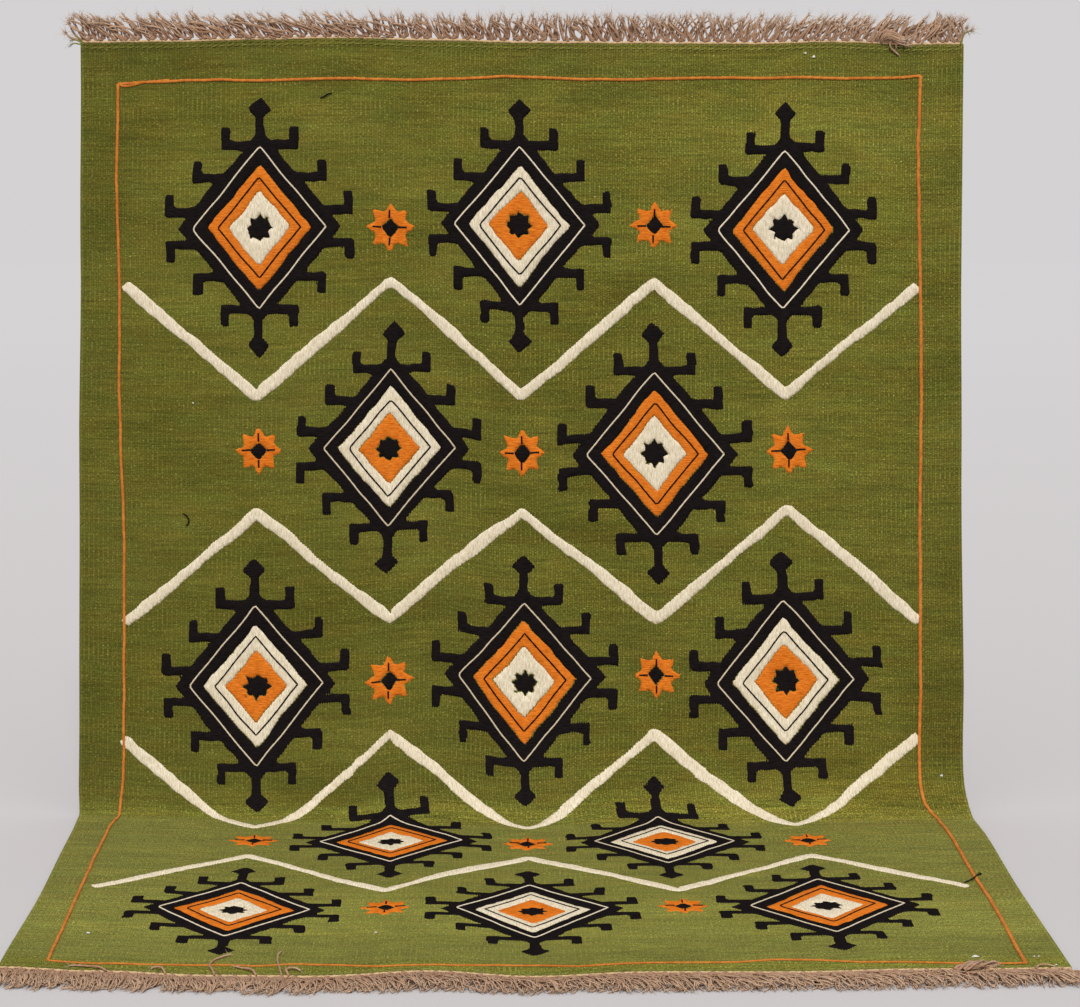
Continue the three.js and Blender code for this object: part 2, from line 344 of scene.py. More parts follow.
def tube_mesh(routes, radii, sides, lobe=0.0, turns=0.0, phase=0.0):
    """Tubes along many routes at once, each closed at its ends. A lobe makes a two-ply yarn,
    which turns about the route. Gives points, faces, and each point's share along its route."""
    routes = np.asarray(routes, float)
    count, rings = routes.shape[:2]
    tangent = unit(np.gradient(routes, axis=1))
    start = np.where(np.abs(tangent[:, 0, 2:]) < 0.8, [[0.0, 0.0, 1.0]], [[1.0, 0.0, 0.0]])
    side = np.zeros_like(routes)
    side[:, 0] = start
    for k in range(rings):
        last = side[:, max(k - 1, 0)]
        along = tangent[:, k]
        side[:, k] = unit(last - along * (last * along).sum(-1, keepdims=True))
    other = np.cross(tangent, side)
    share = np.linspace(0, 1, rings)
    angle = np.arange(sides) * 2 * np.pi / sides
    twist = np.reshape(phase, (-1, 1)) + 2 * np.pi * np.reshape(turns, (-1, 1)) * share
    shape = 1 + lobe * np.cos(2 * (angle - twist[..., None]))
    radius = np.broadcast_to(radii, (count, rings))[..., None] * shape
    points = routes[:, :, None] + radius[..., None] * (
        side[:, :, None] * np.cos(angle)[:, None] + other[:, :, None] * np.sin(angle)[:, None])
    index = np.arange(count * rings * sides).reshape(count, rings, sides)
    ahead = np.roll(index, -1, 2)
    walls = np.stack([index[:, :-1], ahead[:, :-1], ahead[:, 1:], index[:, 1:]], -1)
    faces = walls.reshape(-1, 4).tolist()
    faces += index[:, 0, ::-1].tolist()
    faces += index[:, -1].tolist()
    along = np.broadcast_to(share[None, :, None], (count, rings, sides)).ravel()
    return points.reshape(-1, 3), faces, along


def resample(route, step):
    """Points at even steps along a route of corners."""
    route = np.asarray(route, float)
    lengths = np.r_[0, np.cumsum(np.linalg.norm(np.diff(route, axis=0), axis=1))]
    count = max(int(round(lengths[-1] / step)), 2)
    at = np.linspace(0, lengths[-1], count + 1)
    return np.stack([np.interp(at, lengths, route[:, i]) for i in range(route.shape[1])], -1)


class Parts:
    """Gathers many small meshes into one piece."""

    def __init__(self):
        self.points, self.faces, self.along, self.tint = [], [], [], []
        self.size = 0

    def add(self, points, faces, along, tint):
        self.points.append(points)
        self.faces += [[i + self.size for i in face] for face in faces]
        self.along.append(along)
        self.tint.append(np.broadcast_to(tint, len(points)))
        self.size += len(points)

    def add_tubes(self, routes, radii, sides, tint, **twist):
        points, faces, along = tube_mesh(routes, radii, sides, **twist)
        each = len(points) // len(routes)
        self.add(points, faces, along, np.repeat(np.broadcast_to(tint, len(routes)), each))

    def piece(self, name, material):
        attributes = {"along": np.concatenate(self.along), "tint": np.concatenate(self.tint)}
        return make_piece(name, np.concatenate(self.points), self.faces, material, attributes)


# Materials

def linear(colour):
    """A colour of 0 to 255 as linear light, with alpha."""
    parts = [c / 255 for c in colour]
    return (*[c / 12.92 if c <= 0.04045 else ((c + 0.055) / 1.055) ** 2.4 for c in parts], 1.0)


class Value:
    """What a node puts out. Sums and products of such values read as plain arithmetic."""

    def __init__(self, shade, socket):
        self.shade = shade
        self.socket = socket

    def __add__(self, other):
        return self.shade.math("ADD", self, other)

    def __sub__(self, other):
        return self.shade.math("SUBTRACT", self, other)

    def __mul__(self, other):
        return self.shade.math("MULTIPLY", self, other)

    def spread(self, low, high, to_low=0.0, to_high=1.0):
        """The value moved from one range to another, and held inside it."""
        return self.shade.node("MapRange", enumerate((self, low, high, to_low, to_high)))


class Shade:
    """A node material, built in short steps."""

    def __init__(self, name):
        self.material = bpy.data.materials.new(name)
        self.material.use_nodes = True
        self.nodes = self.material.node_tree.nodes
        self.links = self.material.node_tree.links
        self.shader = self.nodes["Principled BSDF"]

    def put(self, socket, value):
        if isinstance(value, Value):
            self.links.new(value.socket, socket)
        else:
            socket.default_value = value

    def node(self, kind, inputs=(), output=0, **settings):
        """One output of a new node with these settings and inputs."""
        node = self.nodes.new("ShaderNode" + kind)
        for name, value in settings.items():
            setattr(node, name, value)
        for key, value in dict(inputs).items():
            self.put(node.inputs[key], value)
        return Value(self, node.outputs[output])

    def math(self, operation, a, b=0.0):
        return self.node("Math", {0: a, 1: b}, operation=operation)

    def attribute(self, name, output="Fac"):
        return self.node("Attribute", output=output, attribute_name=name)

    def axis(self, vector, name):
        return self.node("SeparateXYZ", {0: vector}, name)

    def combine(self, x, y, z=0.0):
        return self.node("CombineXYZ", {0: x, 1: y, 2: z})

    def noise(self, vector, scale=1.0, detail=2.0, roughness=0.5):
        inputs = {"Vector": vector, "Scale": scale, "Detail": detail, "Roughness": roughness}
        return self.node("TexNoise", inputs, "Fac")

    def patches(self, place, scale, offset=(0, 0), detail=2.0, roughness=0.5):
        """Noise with a scale of its own across the cloth and down it."""
        inputs = {0: place, 1: (*scale, 1), 2: (*offset, 0)}
        moved = self.node("VectorMath", inputs, operation="MULTIPLY_ADD")
        return self.noise(moved, 1.0, detail, roughness)

    def mix(self, share, a, b, blend="MIX"):
        inputs = {"Factor": share, 6: a, 7: b}
        return self.node("Mix", inputs, 2, data_type="RGBA", blend_type=blend)

    def dye(self, base, colour, share):
        """The base with a share of another colour."""
        return self.mix(share, base, linear(colour))

    def tone(self, base, factor):
        """The base multiplied by one number, or by a number for each of its colours."""
        return self.mix(1.0, base, factor, "MULTIPLY")

    def bump(self, height, distance, strength):
        return self.node("Bump", {"Strength": strength, "Distance": distance, "Height": height})

    def finish(self, colour, normal=None, roughness=0.95, specular=0.08, sheen=0.0, sheen_tint=CREAM):
        looks = {
            "Base Color": colour,
            "Roughness": roughness,
            "Specular IOR Level": specular,
            "Sheen Weight": sheen,
            "Sheen Roughness": SHEEN_ROUGHNESS,
            "Sheen Tint": linear(sheen_tint),
        }
        if normal:
            looks["Normal"] = normal
        for name, value in looks.items():
            self.put(self.shader.inputs[name], value)
        return self.material


def uneven_dye_and_highlights(s, place, across, down, weft_highlights):
    """Green wool dyed unevenly: streaks and bands across, clouds, straw-coloured slubs, pale
    edges and slow turns of hue, with painted highlights on the rib tops where the weft crosses
    them. It is warmer at the right above the bend, and greener on the floor."""
    streak = s.patches(place, (9, 260), detail=3, roughness=0.6)
    fine_streak = s.patches(place, (34, 620), (7, 3))
    band = s.patches(place, (0.9, 14), (3, 9), detail=3, roughness=0.6)
    cloud = s.patches(place, (4, 5), (1, 4))
    slub = s.patches(place, (300, 400), (5, 5), detail=1)
    hue = s.patches(place, (11, 42), (8, 2))
    edge = s.math("ABSOLUTE", across)
    green = s.dye(linear(GREEN_DARK), GREEN, streak.spread(0.26, 0.66, 0.25, 1))
    green = s.dye(green, GREEN_LIGHT, fine_streak.spread(0.45, 0.78, 0, 0.30))
    green = s.dye(green, GREEN_DARK, band.spread(0.35, 0.6, 0.35, 0))
    green = s.dye(green, GREEN_LIGHT, cloud.spread(0.35, 0.7, 0.0, 0.2))
    green = s.dye(green, GREEN_STRAW, slub.spread(0.66, 0.74, 0, 0.8))
    # Painted highlights on the rib tops where the weft crosses them.
    green = s.dye(green, GREEN_LIGHT, weft_highlights)
    green = s.dye(green, GREEN_LIGHT, edge.spread(0.6945, 0.6965, 0, 0.35))
    yellower = s.tone(green, (1.09, 1.0, 0.98, 1.0))
    greener = s.tone(green, (0.92, 1.0, 0.99, 1.0))
    green = s.mix(hue.spread(0.32, 0.68), yellower, greener)
    green = s.mix(down.spread(1.6, 1.9, 0, 0.4), green, greener)
    warm = across.spread(0.1, 0.6) * down.spread(0.85, 1.15) * down.spread(1.25, 1.35, 1, 0)
    return s.mix(warm, green, s.tone(green, (1.04, 0.98, 0.95, 1.0)))


def drape_tones(s, across, down, hangs):
    """Factors of light and shade that follow the drape: from side to side, on the floor, along
    the bend, below the twined rows, under the top edge and in its corners."""
    slant = down.spread(0.2, 0.9, 1.0, 0.3)
    side = slant * across.spread(0.05, 0.4, 0.0, 0.15) - slant * across.spread(-0.68, -0.45, 0.08, 0.0)
    side = (side + 1.0) * across.spread(0.58, 0.69, 1.0, 0.84) * across.spread(-0.69, -0.6, 0.91, 1.0)
    side = side * down.spread(0.15, 1.15, 1.07, 0.88)
    lying = down.spread(1.62, 1.70, 1.07, 1.34) * down.spread(1.82, 1.87, 1.0, 0.79)
    lying = lying * down.spread(1.945, 1.965, 1.0, 1.13) * across.spread(-0.69, -0.5, 0.93, 1.03)
    bend_start = across.spread(-0.1, 0.4, 1.190, 1.150)
    bend = (down - bend_start).spread(0, 0.02) * down.spread(1.215, 1.27, 1, 0)
    near_end = s.math("MINIMUM", down, s.math("SUBTRACT", CLOTH_LENGTH, down))
    below_twining = near_end.spread(0.0100, 0.0118) * near_end.spread(0.0132, 0.0155, 1, 0)
    aside = s.math("ABSOLUTE", across)
    corner = aside.spread(0.42, 0.55) * down.spread(0.05, 0.16, 1, 0) * aside.spread(0.62, 0.66, 1, 0)
    return (
        hangs.spread(0, 1, lying, side),
        bend.spread(0, 1, 1, 1.2),
        below_twining.spread(0, 1, 1, 0.84),
        down.spread(0.04, 0.09, 0.79, 1.01),
        corner.spread(0, 1, 1, 0.87),
    )


def green_wool():
    """Weft-faced ground: upright ribs, each with its own small lights and darks where the weft
    crosses it, painted highlights on the rib tops there, and painted shade in the grooves with
    painted light on the ridges, both stronger where the weave is more open."""
    s = Shade("green_weave")
    place = s.attribute("weave", "Vector")
    across, down = s.axis(place, "X"), s.axis(place, "Y")
    from_edge = s.math("DIVIDE", across + HALF_WIDTH, RIB_PITCH)
    rib = s.math("COSINE", from_edge * (2 * math.pi)) * 0.5 + 0.5
    rib_number = s.math("FLOOR", from_edge + 0.5)
    odd = s.math("FRACT", rib_number * 0.5) * 37
    crossing = s.noise(s.combine(rib_number * 7.3, down * 380), detail=1)
    bead = s.noise(s.combine(rib_number * 3.7, down * 130))
    pick = s.noise(s.combine(across * 20, down * 400, odd))
    pair = s.noise(s.combine(across * 8, down * 16, odd), detail=1)
    grain = s.patches(place, (620, 620), (2, 8), roughness=0.6)
    wrinkle = s.patches(place, (4, 62), (6, 6), detail=3, roughness=0.6)
    weft = s.patches(place, (330, 900), roughness=0.7)
    fuzz = s.patches(place, (1500, 1500))
    hangs = down.spread(1.18, 1.24, 1, 0)
    open_weave = across.spread(-0.3, 0.1)
    shade = grain.spread(0.3, 0.7, 0.60, 1.35) * crossing.spread(0.3, 0.55, 0.86, 1.03)
    shade = shade * bead.spread(0.3, 0.7, 0.93, 1.07) * pick.spread(0.3, 0.7, 0.80, 1.20)
    shade = s.math("POWER", shade, hangs.spread(0, 1, 2.4, open_weave.spread(0, 1, 1.05, 1.35)))
    # Painted shade in the grooves between the ribs and painted light on their ridges, over their real
    # relief. Both are stronger where the weave is more open.
    groove_shade = hangs.spread(0, 1, 0.95, open_weave.spread(0, 1, 0.87, 0.78))
    ridge_light = hangs.spread(0, 1, 1.03, open_weave.spread(0, 1, 1.03, 1.10))
    unlike = pair.spread(0.35, 0.65, -0.12, 0.12) * hangs.spread(0, 1, 0.5, 1.0)
    shade = shade * rib.spread(0.0, 0.7, groove_shade, ridge_light) * (unlike + 1.0)
    shade = shade * wrinkle.spread(0.34, 0.52, hangs.spread(0, 1, 0.84, 0.93), 1.02)
    for tone in drape_tones(s, across, down, hangs):
        shade = shade * tone
    # Painted highlights: pale spots on the rib tops where the weft crosses them.
    weft_highlights = crossing.spread(0.55, 0.72, 0, 0.75) * rib.spread(0.3, 0.8)
    green = s.tone(uneven_dye_and_highlights(s, place, across, down, weft_highlights), shade)
    height = weft * 0.6 + fuzz * 0.4 + rib * crossing * 0.7
    return s.finish(green, s.bump(height, 0.0009, 0.8), sheen=0.75, sheen_tint=GREEN_SHEEN)


def sewn_wool(name, colour, dark, stretch):
    """Motif wool in short parallel stitches, slightly brushed."""
    s = Shade(name)
    place = s.attribute("weave", "Vector")
    stitch = s.patches(place, stretch, detail=3, roughness=0.65)
    patch = s.patches(place, (26, 26), (2, 6))
    fuzz = s.patches(place, (1300, 1300))
    grain = s.patches(place, (620, 620), (4, 1), detail=1)
    base = s.dye(linear(dark), colour, stitch.spread(0.3, 0.62))
    base = s.dye(base, dark, patch.spread(0.3, 0.7, 0.0, 0.25))
    base = s.dye(base, dark, grain.spread(0.3, 0.5, 0.3, 0))
    height = stitch * 0.7 + fuzz * 0.3
    return s.finish(base, s.bump(height, 0.0016, 0.9), specular=0.0)


def yarn_wool(name, colour, dark, sheen=0.03, tip=None, stitches=0.0, sheen_tint=CREAM):
    """Twisted yarn: each cord has its own tint, its fibres catch the light, its tip may be of
    another colour, and its stitches, if it is sewn, are lighter and darker in turn."""
    s = Shade(name)
    place = s.node("TexCoord", output="Object")
    fibre = s.noise(place, 900, 2, 0.6)
    base = s.dye(linear(dark), colour, s.attribute("tint").spread(0, 1, 0, 0.85))
    base = s.dye(base, dark, fibre.spread(0.3, 0.7, 0.35, 0))
    base = s.dye(base, dark, s.noise(place, 210, 1).spread(0.36, 0.56, 0.4, 0))
    if stitches:
        base = s.dye(base, dark, s.noise(place, 75, 1).spread(0.38, 0.58, stitches, 0))
    if tip:
        base = s.dye(base, tip, s.attribute("along").spread(0.55, 1.0, 0, 0.6))
    return s.finish(base, s.bump(fibre, 0.0008, 0.8), sheen=sheen, sheen_tint=sheen_tint)


def stage_paint():
    """Matt paint, a little paler away from the middle, with a faint cloudiness."""
    s = Shade("stage_paint")
    place = s.node("TexCoord", output="Object")
    distance = s.node("VectorMath", {0: place}, "Value", operation="LENGTH")
    paint = s.dye(linear(FLOOR), FLOOR_FAR, distance.spread(0.5, 9.0))
    paint = s.dye(paint, FLOOR_DIM, s.noise(place, 0.4).spread(0.3, 0.7, 0, 0.04))
    return s.finish(paint, roughness=1.0, specular=0.0)


# Cloth: a closed sheet whose ribs and selvedges are raised in its faces

def cloth_rows(across):
    """Rows down the length, close together at the bend. Each row follows the lift-off line, so
    one row is one array over the width."""
    lift = lift_off(across)
    bend = [0.40, 0.355, 0.312, 0.27, 0.23, 0.19, 0.155, 0.123, 0.096, 0.074, 0.057, 0.043, 0.031,
            0.021, 0.013, 0.006, 0.0, -0.008, -0.03]
    rows = [(lift - bend[0]) * t for t in np.linspace(0, 1, 12)[:-1]]
    rows += [lift - b for b in bend]
    start = lift - bend[-1]
    rows += [start + (CLOTH_LENGTH - start) * t for t in np.linspace(0, 1, 14)[1:]]
    return np.array(rows)


def make_cloth(material):
    columns = 2 * RIBS + 1
    across = np.linspace(-HALF_WIDTH, HALF_WIDTH, columns)
    downs = cloth_rows(across)
    across = np.broadcast_to(across, downs.shape)
    rib = np.cos(2 * np.pi * (across + HALF_WIDTH) / RIB_PITCH)
    selvedge = np.clip((np.abs(across) - HALF_WIDTH + SELVEDGE_WIDTH) / 0.001, 0, 1)
    uneven = SoftNoise(11, 0.045)(across, downs) * 0.0002
    half = HALF_THICKNESS - FACE_INSET + rib * RIB_DEPTH * (1 + selvedge) + selvedge * 0.0003 + uneven
    index = np.arange(downs.size).reshape(downs.shape)
    corners = index[:-1, :-1], index[1:, :-1], index[1:, 1:], index[:-1, 1:]
    quads = np.stack(corners, -1).reshape(-1, 4)
    return make_sheet("cloth", across, downs, half, quads, material, FLOOR_CLEARANCE)


# Motifs: hooked diamonds in staggered rows, winding bands between them, and small stars

MOTIF_ROWS = (0.285, 0.640, 1.000, 1.355, 1.705)
COLUMN_PITCH = 0.420
DIAMOND = (0.130, 0.155)
STAR_RADIUS = 0.040
BAND_HALF_WIDTH = 0.0085
BAND_SWING = 0.088
STAR_POINTS = 8
STAR_WAIST = 0.62
STAR_HEART = (0.014, 0.016)
RING_SHARE = 0.64
HEART_SHARE = 0.38
EYE_RADIUS = 0.024
CREAM_LINE_SHARE = 0.82
BLACK_LINE_SHARE = 0.51
HOOKS_A_SIDE = 3
HOOK = {"root": 0.012, "bend": 0.027, "reach": 0.042, "rise": 0.028}
TIP = {"root": 0.020, "reach": 0.022, "head": 0.020, "middle": 0.030}
STEM = 0.0075
MOTIF_REACH = 0.25


def distance_to_polygon(x, y, corners):
    """Signed distance from points to a polygon, negative inside it."""
    best = np.full(x.shape, np.inf)
    inside = np.zeros(x.shape, bool)
    for (ax, ay), (bx, by) in zip(corners, np.roll(corners, -1, 0)):
        ex, ey = bx - ax, by - ay
        t = np.clip(((x - ax) * ex + (y - ay) * ey) / (ex * ex + ey * ey), 0, 1)
        best = np.minimum(best, (x - ax - t * ex) ** 2 + (y - ay - t * ey) ** 2)
        if ay != by:
            inside ^= ((ay > y) != (by > y)) & (x < ex * (y - ay) / ey + ax)
    return np.where(inside, -1, 1) * np.sqrt(best)


def diamond(half_width, half_height):
    return np.array([(half_width, 0), (0, half_height), (-half_width, 0), (0, -half_height)])


def box_corners(x0, y0, x1, y1):
    return np.array([(x0, y0), (x1, y0), (x1, y1), (x0, y1)])


def star(radius):
    angle = np.arange(2 * STAR_POINTS) * np.pi / STAR_POINTS
    reach = radius * np.tile([1, STAR_WAIST], STAR_POINTS)
    return np.stack([reach * np.cos(angle), reach * np.sin(angle)], -1)


def hooked_diamond():
    """Outline pieces of the large motif: a diamond, latch hooks on its sides, and tips."""
    wide, tall = DIAMOND
    pieces = [diamond(wide, tall)]
    for t in (np.arange(HOOKS_A_SIDE) + 0.5) / HOOKS_A_SIDE:
        x, y = wide * (1 - t), tall * t
        arm = box_corners(x - HOOK["root"], y - STEM, x + HOOK["reach"], y + STEM)
        hook = box_corners(x + HOOK["bend"], y - STEM, x + HOOK["reach"], y + HOOK["rise"])
        pieces += [shape * (sx, sy) for sx in (-1, 1) for sy in (-1, 1) for shape in (arm, hook)]
    stem = box_corners(-STEM, tall - TIP["root"], STEM, tall + TIP["reach"])
    head = diamond(TIP["head"], TIP["head"]) + (0, tall + TIP["middle"])
    return pieces + [shape * (1, sy) for sy in (-1, 1) for shape in (stem, head)]


class Field:
    """The sewn colours over a lattice of points on the cloth, each a signed distance."""

    def __init__(self, names):
        self.across = np.arange(-HALF_WIDTH + 0.02, HALF_WIDTH - 0.02, LATTICE)
        self.down = np.arange(0.04, CLOTH_LENGTH - 0.04, LATTICE)
        self.x, self.y = np.meshgrid(self.across, self.down)
        waver = []
        for slow, quick in ((21, 23), (22, 24)):
            wide = SoftNoise(slow, 0.055)(self.x, self.y) * 0.0022
            waver.append(wide + SoftNoise(quick, 0.010)(self.x, self.y) * 0.0014)
        self.waver_x, self.waver_y = waver
        self.layers = {name: np.full(self.x.shape, 1.0) for name in names}

    def paint(self, name, centre, turn, size, outlines, reach=MOTIF_REACH):
        """Gives the inside of the outlines to one colour, and takes it from the others."""
        rows = slice(*np.searchsorted(self.down, [centre[1] - reach, centre[1] + reach]))
        columns = slice(*np.searchsorted(self.across, [centre[0] - reach, centre[0] + reach]))
        part = rows, columns
        x = self.x[part] + self.waver_x[part] - centre[0]
        y = self.y[part] + self.waver_y[part] - centre[1]
        c, s = math.cos(turn) / size, math.sin(turn) / size
        local_x, local_y = c * x + s * y, c * y - s * x
        shape = np.full(x.shape, 1.0)
        for outline in outlines:
            shape = np.minimum(shape, distance_to_polygon(local_x, local_y, outline))
        shape = shape * size
        for other, layer in self.layers.items():
            if other == name:
                layer[part] = np.minimum(layer[part], shape)
            else:
                layer[part] = np.maximum(layer[part], -shape)


def motif_places():
    """Centre, turn and size of each large motif and star, none quite like another."""
    rng = np.random.default_rng(5)
    for row, down in enumerate(MOTIF_ROWS):
        large = [-1, 0, 1] if row % 2 == 0 else [-0.5, 0.5]
        small = [-0.5, 0.5] if row % 2 == 0 else [-1, 0, 1]
        for kind, columns in (("large", large), ("star", small)):
            for column in columns:
                x = column * COLUMN_PITCH + rng.uniform(-0.005, 0.005)
                y = down + rng.uniform(-0.006, 0.006)
                turn = math.radians(rng.uniform(-1.6, 1.6))
                size = 1 + rng.uniform(-0.03, 0.03)
                yield kind, row, column, (x, y), turn, size


def band_route(row):
    """Corners of the winding band below a row of motifs, from side line to side line."""
    middle = (MOTIF_ROWS[row] + MOTIF_ROWS[row + 1]) / 2
    first = -1 if row % 2 == 0 else 1
    route = []
    for i in range(-3, 4):
        swing = BAND_SWING if i % 2 == 0 else -BAND_SWING
        route.append((i * COLUMN_PITCH / 2, middle + first * -swing))
    return np.array(route)


def paint_motifs(field):
    wide, tall = DIAMOND
    for row in range(len(MOTIF_ROWS) - 1):
        route = resample(band_route(row), 0.004)
        swell = SoftNoise(31 + row, 0.08)(route[:, 0], route[:, 1])
        half = BAND_HALF_WIDTH * (1 + 0.25 * swell)
        normal = unit(np.gradient(route, axis=0))[:, ::-1] * (-1, 1)
        side = normal * half[:, None]
        outline = np.concatenate([route + side, (route - side)[::-1]])
        middle = (0.0, route[:, 1].mean())
        field.paint("cream", middle, 0, 1, [outline - middle], reach=HALF_WIDTH)
    for kind, row, column, centre, turn, size in motif_places():
        even = (math.floor(column + 0.5) + row // 2) % 2 == 0
        ring, heart = ("cream", "orange") if even else ("orange", "cream")
        if kind == "large":
            field.paint("black", centre, turn, size, hooked_diamond())
            field.paint(ring, centre, turn, size, [diamond(wide * RING_SHARE, tall * RING_SHARE)])
            field.paint(heart, centre, turn, size, [diamond(wide * HEART_SHARE, tall * HEART_SHARE)])
            field.paint("black", centre, turn, size, [star(EYE_RADIUS)])
        else:
            field.paint("orange", centre, turn, size, [star(STAR_RADIUS)])
            field.paint("black", centre, turn, size, [diamond(*STAR_HEART)])


def marched(field, layer):
    """Triangles of the lattice where a layer is negative, cut at its zero line."""
    values = np.where(np.abs(layer) < 0.0002, -0.0002, layer).ravel()
    grid = np.stack([field.x, field.y], -1).reshape(-1, 2)
    index = np.arange(layer.size).reshape(layer.shape)
    a, b, c, d = index[:-1, :-1], index[:-1, 1:], index[1:, 1:], index[1:, :-1]
    triangles = np.concatenate([np.stack(t, -1).reshape(-1, 3) for t in ((a, b, c), (a, c, d))])
    inside = values[triangles] < 0
    count = inside.sum(1)
    whole = triangles[count == 3]

    def odd_first(wanted):
        chosen, flags = triangles[count == (1 if wanted else 2)], inside[count == (1 if wanted else 2)]
        odd = np.argmax(flags == wanted, 1)
        return np.stack([chosen[np.arange(len(chosen)), (odd + k) % 3] for k in range(3)], -1)

    def cut(p, q):
        low, high = np.minimum(p, q), np.maximum(p, q)
        share = (values[low] / (values[low] - values[high]))[:, None]
        at = grid[low] * (1 - share) + grid[high] * share
        return np.concatenate([at, np.zeros((len(at), 1))], 1)

    def node(p):
        return np.concatenate([grid[p], values[p][:, None]], 1)

    one, two = odd_first(True), odd_first(False)
    pieces = [np.stack([node(whole[:, k]) for k in range(3)], 1)]
    pieces.append(np.stack([node(one[:, 0]), cut(one[:, 0], one[:, 1]), cut(one[:, 0], one[:, 2])], 1))
    near, far = cut(two[:, 0], two[:, 1]), cut(two[:, 0], two[:, 2])
    pieces.append(np.stack([near, node(two[:, 1]), node(two[:, 2])], 1))
    pieces.append(np.stack([near, node(two[:, 2]), far], 1))
    corners = np.concatenate(pieces).reshape(-1, 3)
    _, first, inverse = np.unique(np.round(corners[:, :2] / 1e-6).astype(np.int64), axis=0,
                                  return_index=True, return_inverse=True)
    return corners[first], inverse.reshape(-1, 3)


def sewn_piece(name, field, layer, material):
    """Closed plates through the cloth, raised a little on both of its faces."""
    corners, triangles = marched(field, field.layers[layer])
    across, down, value = corners.T
    rise = np.clip(-value / MOTIF_EDGE, 0, 1)
    rise = 1 - (1 - rise) ** 2
    uneven = SoftNoise(41, 0.009)(across, down) * 0.00016 + SoftNoise(42, 0.05)(across, down) * 0.0002
    half = HALF_THICKNESS - FACE_INSET + rise * (MOTIF_LIFT + uneven)
    return make_sheet(name, across, down, half, triangles[:, ::-1], material)


# Yarn laid on the cloth

def laid_yarn(parts, route, ply, lift, pitch, tint, step=0.0042, sides=7):
    """A two-ply yarn along a route of cloth coordinates, pressed flat against the cloth."""
    places = resample(route, step)
    centres = on_cloth(*places.T, lift)
    out = cloth_out(*places.T)[:, None]
    turns = len(places) * step / pitch
    points, faces, along = tube_mesh(centres[None], ply * 1.5, sides, lobe=YARN_LOBE, turns=turns / 2)
    rings = points.reshape(len(places), sides, 3)
    height = ((rings - centres[:, None]) * out).sum(-1, keepdims=True)
    rings = rings - out * height * (1 - LAID_FLATNESS)
    parts.add(rings.reshape(-1, 3), faces, along, tint)


def turned(outline, centre, turn, size):
    c, s = math.cos(turn) * size, math.sin(turn) * size
    x, y = outline[:, 0], outline[:, 1]
    return np.stack([c * x - s * y + centre[0], s * x + c * y + centre[1]], -1)


def hand_drawn(route, seed, reach=0.0011):
    """The route with a sewer's small waver."""
    route = resample(route, 0.006)
    sway_x, sway_y = SoftNoise(seed, 0.03), SoftNoise(seed + 1, 0.03)
    return route + np.stack([sway_x(*route.T), sway_y(*route.T)], -1) * reach


def ring(outline):
    return np.concatenate([outline, outline[:1]])


def make_stitched_lines(materials):
    """Thin sewn lines: cream on the black, and black on the orange and the cream."""
    wide, tall = DIAMOND
    cream, black = Parts(), Parts()
    lift = HALF_THICKNESS + MOTIF_LIFT + 0.0003
    shares = (cream, CREAM_LINE_SHARE), (black, BLACK_LINE_SHARE)
    large = [(parts, ring(diamond(wide * share, tall * share))) for parts, share in shares]
    rays = ((1, 0), (-1, 0), (0, 1), (0, -1))
    small = [(black, np.array([(0.013, 0.015), (0.027, 0.027)]) * ray) for ray in rays]
    for seed, (kind, _, _, centre, turn, size) in enumerate(motif_places()):
        tint = 0.5 + 0.4 * math.sin(seed)
        for k, (parts, outline) in enumerate(large if kind == "large" else small):
            route = hand_drawn(turned(outline, centre, turn, size), 100 + 20 * seed + k)
            laid_yarn(parts, route, STITCH_PLY, lift, STITCH_TWIST, tint, step=0.0044, sides=6)
    return cream.piece("cream_lines", materials["cream"]), black.piece("black_lines", materials["black"])


# Border line: rows of its path, in millimetres. The ends' rows hold a place across and a
# distance from that edge of the cloth, and the sides' rows a place down and a distance.

TOP_LINE = ((-641, 64), (-535, 59), (-430, 62), (-190, 62), (-100, 58), (-30, 52), (95, 56),
            (225, 55), (290, 52), (450, 54), (510, 56), (605, 50), (632, 48))
RIGHT_LINE = ((48, 68), (165, 71), (445, 64), (780, 67), (1110, 70), (1200, 69), (1240, 56),
              (1560, 53), (1680, 50), (1980, 57))
FRONT_LINE = ((646, 21), (586, 18), (533, 24), (480, 28), (428, 32), (375, 46), (322, 51), (270, 39),
              (217, 37), (164, 37), (112, 35), (59, 33), (6, 44), (-46, 40), (-99, 25), (-151, 24),
              (-204, 26), (-257, 42), (-309, 48), (-362, 37), (-414, 41), (-467, 37), (-520, 30),
              (-575, 29), (-639, 33))
LEFT_LINE = ((1967, 61), (1835, 58), (1680, 53), (1290, 54), (1210, 64), (1155, 71), (780, 71),
             (540, 63), (350, 61), (210, 57), (64, 59))
LINE_START = ((-641, 64), (-634, 68), (-622, 67), (-600, 62), (-560, 58.5))


def make_border_line(material):
    side, end = HALF_WIDTH / MM, CLOTH_LENGTH / MM
    runs = (
        (TOP_LINE, 1.0),
        ([(side - inset, down) for down, inset in RIGHT_LINE], 1.25),
        ([(across, end - inset) for across, inset in FRONT_LINE], 0.95),
        ([(inset - side, down) for down, inset in LEFT_LINE], 1.05),
    )
    parts = Parts()
    lift = HALF_THICKNESS + 0.0006
    for seed, (run, thickness) in enumerate(runs):
        route = hand_drawn(np.array(run) * MM, 300 + 2 * seed, 0.0007)
        laid_yarn(parts, route, LINE_PLY * thickness, lift, LINE_TWIST, 0.8)
    start = hand_drawn(np.array(LINE_START) * MM, 320, 0.0006)
    laid_yarn(parts, start, LINE_PLY * 0.8, lift, 0.009, 0.8)
    return parts.piece("border_line", material)


# End cords, twined rows and fringes

